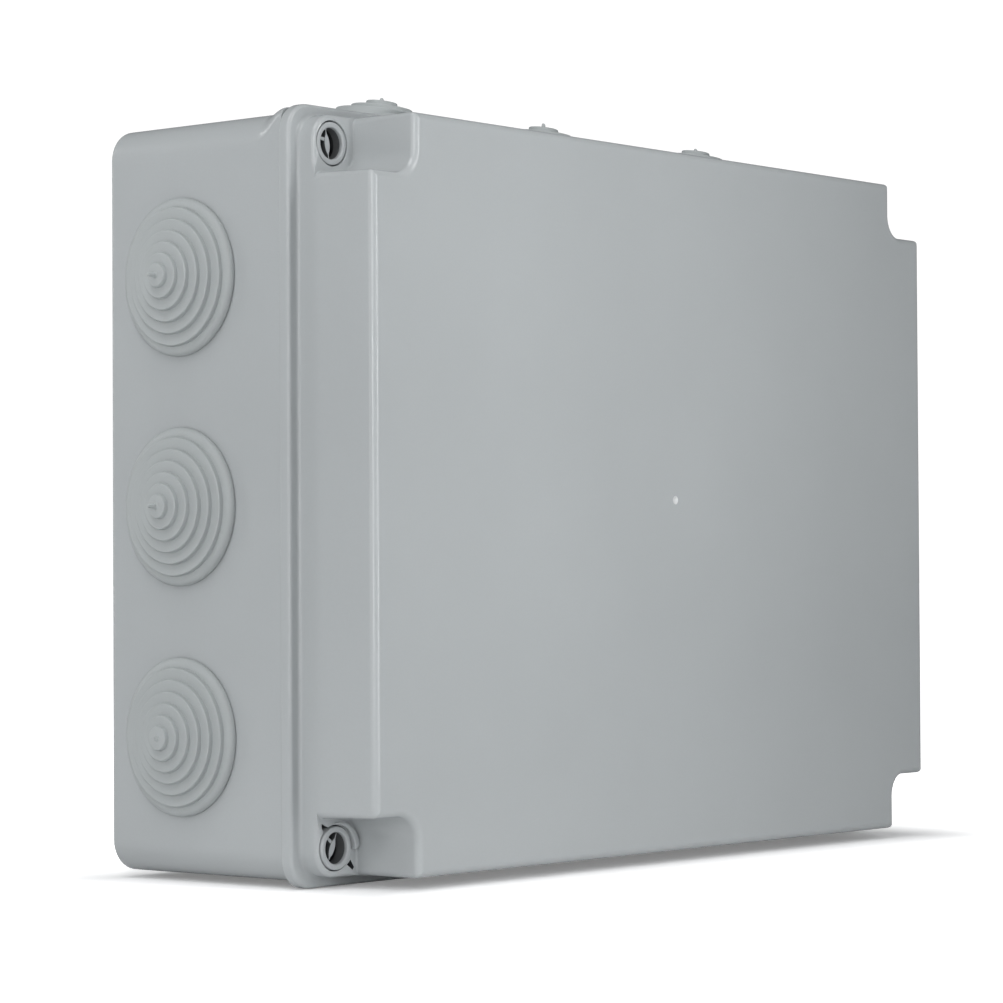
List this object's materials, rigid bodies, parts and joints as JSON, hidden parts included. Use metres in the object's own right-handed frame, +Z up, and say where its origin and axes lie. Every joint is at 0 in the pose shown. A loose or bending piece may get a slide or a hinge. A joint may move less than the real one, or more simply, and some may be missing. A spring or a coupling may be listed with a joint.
{
  "type": "electrical junction box",
  "caption": "Surface-mounted rectangular junction box with a deep screwed lid, stepped cable membranes, mounting rail and terminal row.",
  "frame": {"origin": "centre of the flat back face that rests on the wall", "axes": "+Z up, +X to the right seen from the front, +Y into the wall; the lid faces -Y"},
  "size_m": [0.3372, 0.11, 0.2505],
  "materials": {
    "shell": "moulded light grey thermoplastic, fine satin texture",
    "seal": "soft dark sealing strip",
    "lid_screws": "moulded light grey, satin",
    "membranes": "soft light grey elastomer, matt",
    "caps": "moulded light grey, satin",
    "rail": "zinc-plated and passivated steel strip",
    "steel_screws": "zinc-plated steel",
    "end_brackets": "moulded grey polyamide",
    "terminal_grey": "moulded grey polyamide",
    "terminal_blue": "moulded blue polyamide",
    "terminal_green": "moulded green polyamide with a yellow band"
  },
  "bodies": {
    "base": {"base_shell": "shell", "cable_membrane_left_1": "membranes", "cable_membrane_left_2": "membranes", "cable_membrane_left_3": "membranes", "cable_membrane_right_1": "membranes", "cable_membrane_right_2": "membranes", "cable_membrane_right_3": "membranes", "cable_membrane_top_1": "membranes", "cable_membrane_top_2": "membranes", "cable_membrane_top_3": "membranes", "fixing_cap_tl": "caps", "fixing_cap_tr": "caps", "fixing_cap_bl": "caps", "fixing_cap_br": "caps", "din_rail": "rail", "rail_screw_left": "steel_screws", "rail_screw_right": "steel_screws", "end_bracket_left": "end_brackets", "end_bracket_right": "end_brackets", "terminal_l1": "terminal_grey", "terminal_l2": "terminal_grey", "terminal_l3": "terminal_grey", "terminal_neutral": "terminal_blue", "terminal_earth": "terminal_green"},
    "lid": {"lid_shell": "shell", "lid_gasket": "seal"},
    "lid_screw_tl": {"lid_screw_tl": "lid_screws"},
    "lid_screw_tr": {"lid_screw_tr": "lid_screws"},
    "lid_screw_bl": {"lid_screw_bl": "lid_screws"},
    "lid_screw_br": {"lid_screw_br": "lid_screws"},
    "terminal_l1_screw_top": {"terminal_l1_screw_top": "steel_screws"},
    "terminal_l1_screw_bottom": {"terminal_l1_screw_bottom": "steel_screws"},
    "terminal_l2_screw_top": {"terminal_l2_screw_top": "steel_screws"},
    "terminal_l2_screw_bottom": {"terminal_l2_screw_bottom": "steel_screws"},
    "terminal_l3_screw_top": {"terminal_l3_screw_top": "steel_screws"},
    "terminal_l3_screw_bottom": {"terminal_l3_screw_bottom": "steel_screws"},
    "terminal_neutral_screw_top": {"terminal_neutral_screw_top": "steel_screws"},
    "terminal_neutral_screw_bottom": {"terminal_neutral_screw_bottom": "steel_screws"},
    "terminal_earth_screw_top": {"terminal_earth_screw_top": "steel_screws"},
    "terminal_earth_screw_bottom": {"terminal_earth_screw_bottom": "steel_screws"}
  },
  "joints": [
    {"name": "lid_lift", "type": "slide", "parent": "base", "child": "lid", "axis": [0, -1, 0], "range_m": [0, 0.08]},
    {"name": "turn_lid_screw_tl", "type": "hinge", "parent": "lid", "child": "lid_screw_tl", "pos_m": [-0.143, -0.0871, 0.1075], "axis": [0, -1, 0], "range_deg": [0, 90]},
    {"name": "turn_lid_screw_tr", "type": "hinge", "parent": "lid", "child": "lid_screw_tr", "pos_m": [0.143, -0.0871, 0.1075], "axis": [0, -1, 0], "range_deg": [0, 90]},
    {"name": "turn_lid_screw_bl", "type": "hinge", "parent": "lid", "child": "lid_screw_bl", "pos_m": [-0.143, -0.0871, -0.1075], "axis": [0, -1, 0], "range_deg": [0, 90]},
    {"name": "turn_lid_screw_br", "type": "hinge", "parent": "lid", "child": "lid_screw_br", "pos_m": [0.143, -0.0871, -0.1075], "axis": [0, -1, 0], "range_deg": [0, 90]},
    {"name": "turn_terminal_l1_screw_top", "type": "hinge", "parent": "base", "child": "terminal_l1_screw_top", "pos_m": [-0.0172, -0.043, 0.0135], "axis": [0, -1, 0], "continuous": true},
    {"name": "turn_terminal_l1_screw_bottom", "type": "hinge", "parent": "base", "child": "terminal_l1_screw_bottom", "pos_m": [-0.0172, -0.043, -0.0135], "axis": [0, -1, 0], "continuous": true},
    {"name": "turn_terminal_l2_screw_top", "type": "hinge", "parent": "base", "child": "terminal_l2_screw_top", "pos_m": [-0.0086, -0.043, 0.0135], "axis": [0, -1, 0], "continuous": true},
    {"name": "turn_terminal_l2_screw_bottom", "type": "hinge", "parent": "base", "child": "terminal_l2_screw_bottom", "pos_m": [-0.0086, -0.043, -0.0135], "axis": [0, -1, 0], "continuous": true},
    {"name": "turn_terminal_l3_screw_top", "type": "hinge", "parent": "base", "child": "terminal_l3_screw_top", "pos_m": [0, -0.043, 0.0135], "axis": [0, -1, 0], "continuous": true},
    {"name": "turn_terminal_l3_screw_bottom", "type": "hinge", "parent": "base", "child": "terminal_l3_screw_bottom", "pos_m": [0, -0.043, -0.0135], "axis": [0, -1, 0], "continuous": true},
    {"name": "turn_terminal_neutral_screw_top", "type": "hinge", "parent": "base", "child": "terminal_neutral_screw_top", "pos_m": [0.0086, -0.043, 0.0135], "axis": [0, -1, 0], "continuous": true},
    {"name": "turn_terminal_neutral_screw_bottom", "type": "hinge", "parent": "base", "child": "terminal_neutral_screw_bottom", "pos_m": [0.0086, -0.043, -0.0135], "axis": [0, -1, 0], "continuous": true},
    {"name": "turn_terminal_earth_screw_top", "type": "hinge", "parent": "base", "child": "terminal_earth_screw_top", "pos_m": [0.0172, -0.043, 0.0135], "axis": [0, -1, 0], "continuous": true},
    {"name": "turn_terminal_earth_screw_bottom", "type": "hinge", "parent": "base", "child": "terminal_earth_screw_bottom", "pos_m": [0.0172, -0.043, -0.0135], "axis": [0, -1, 0], "continuous": true}
  ]
}
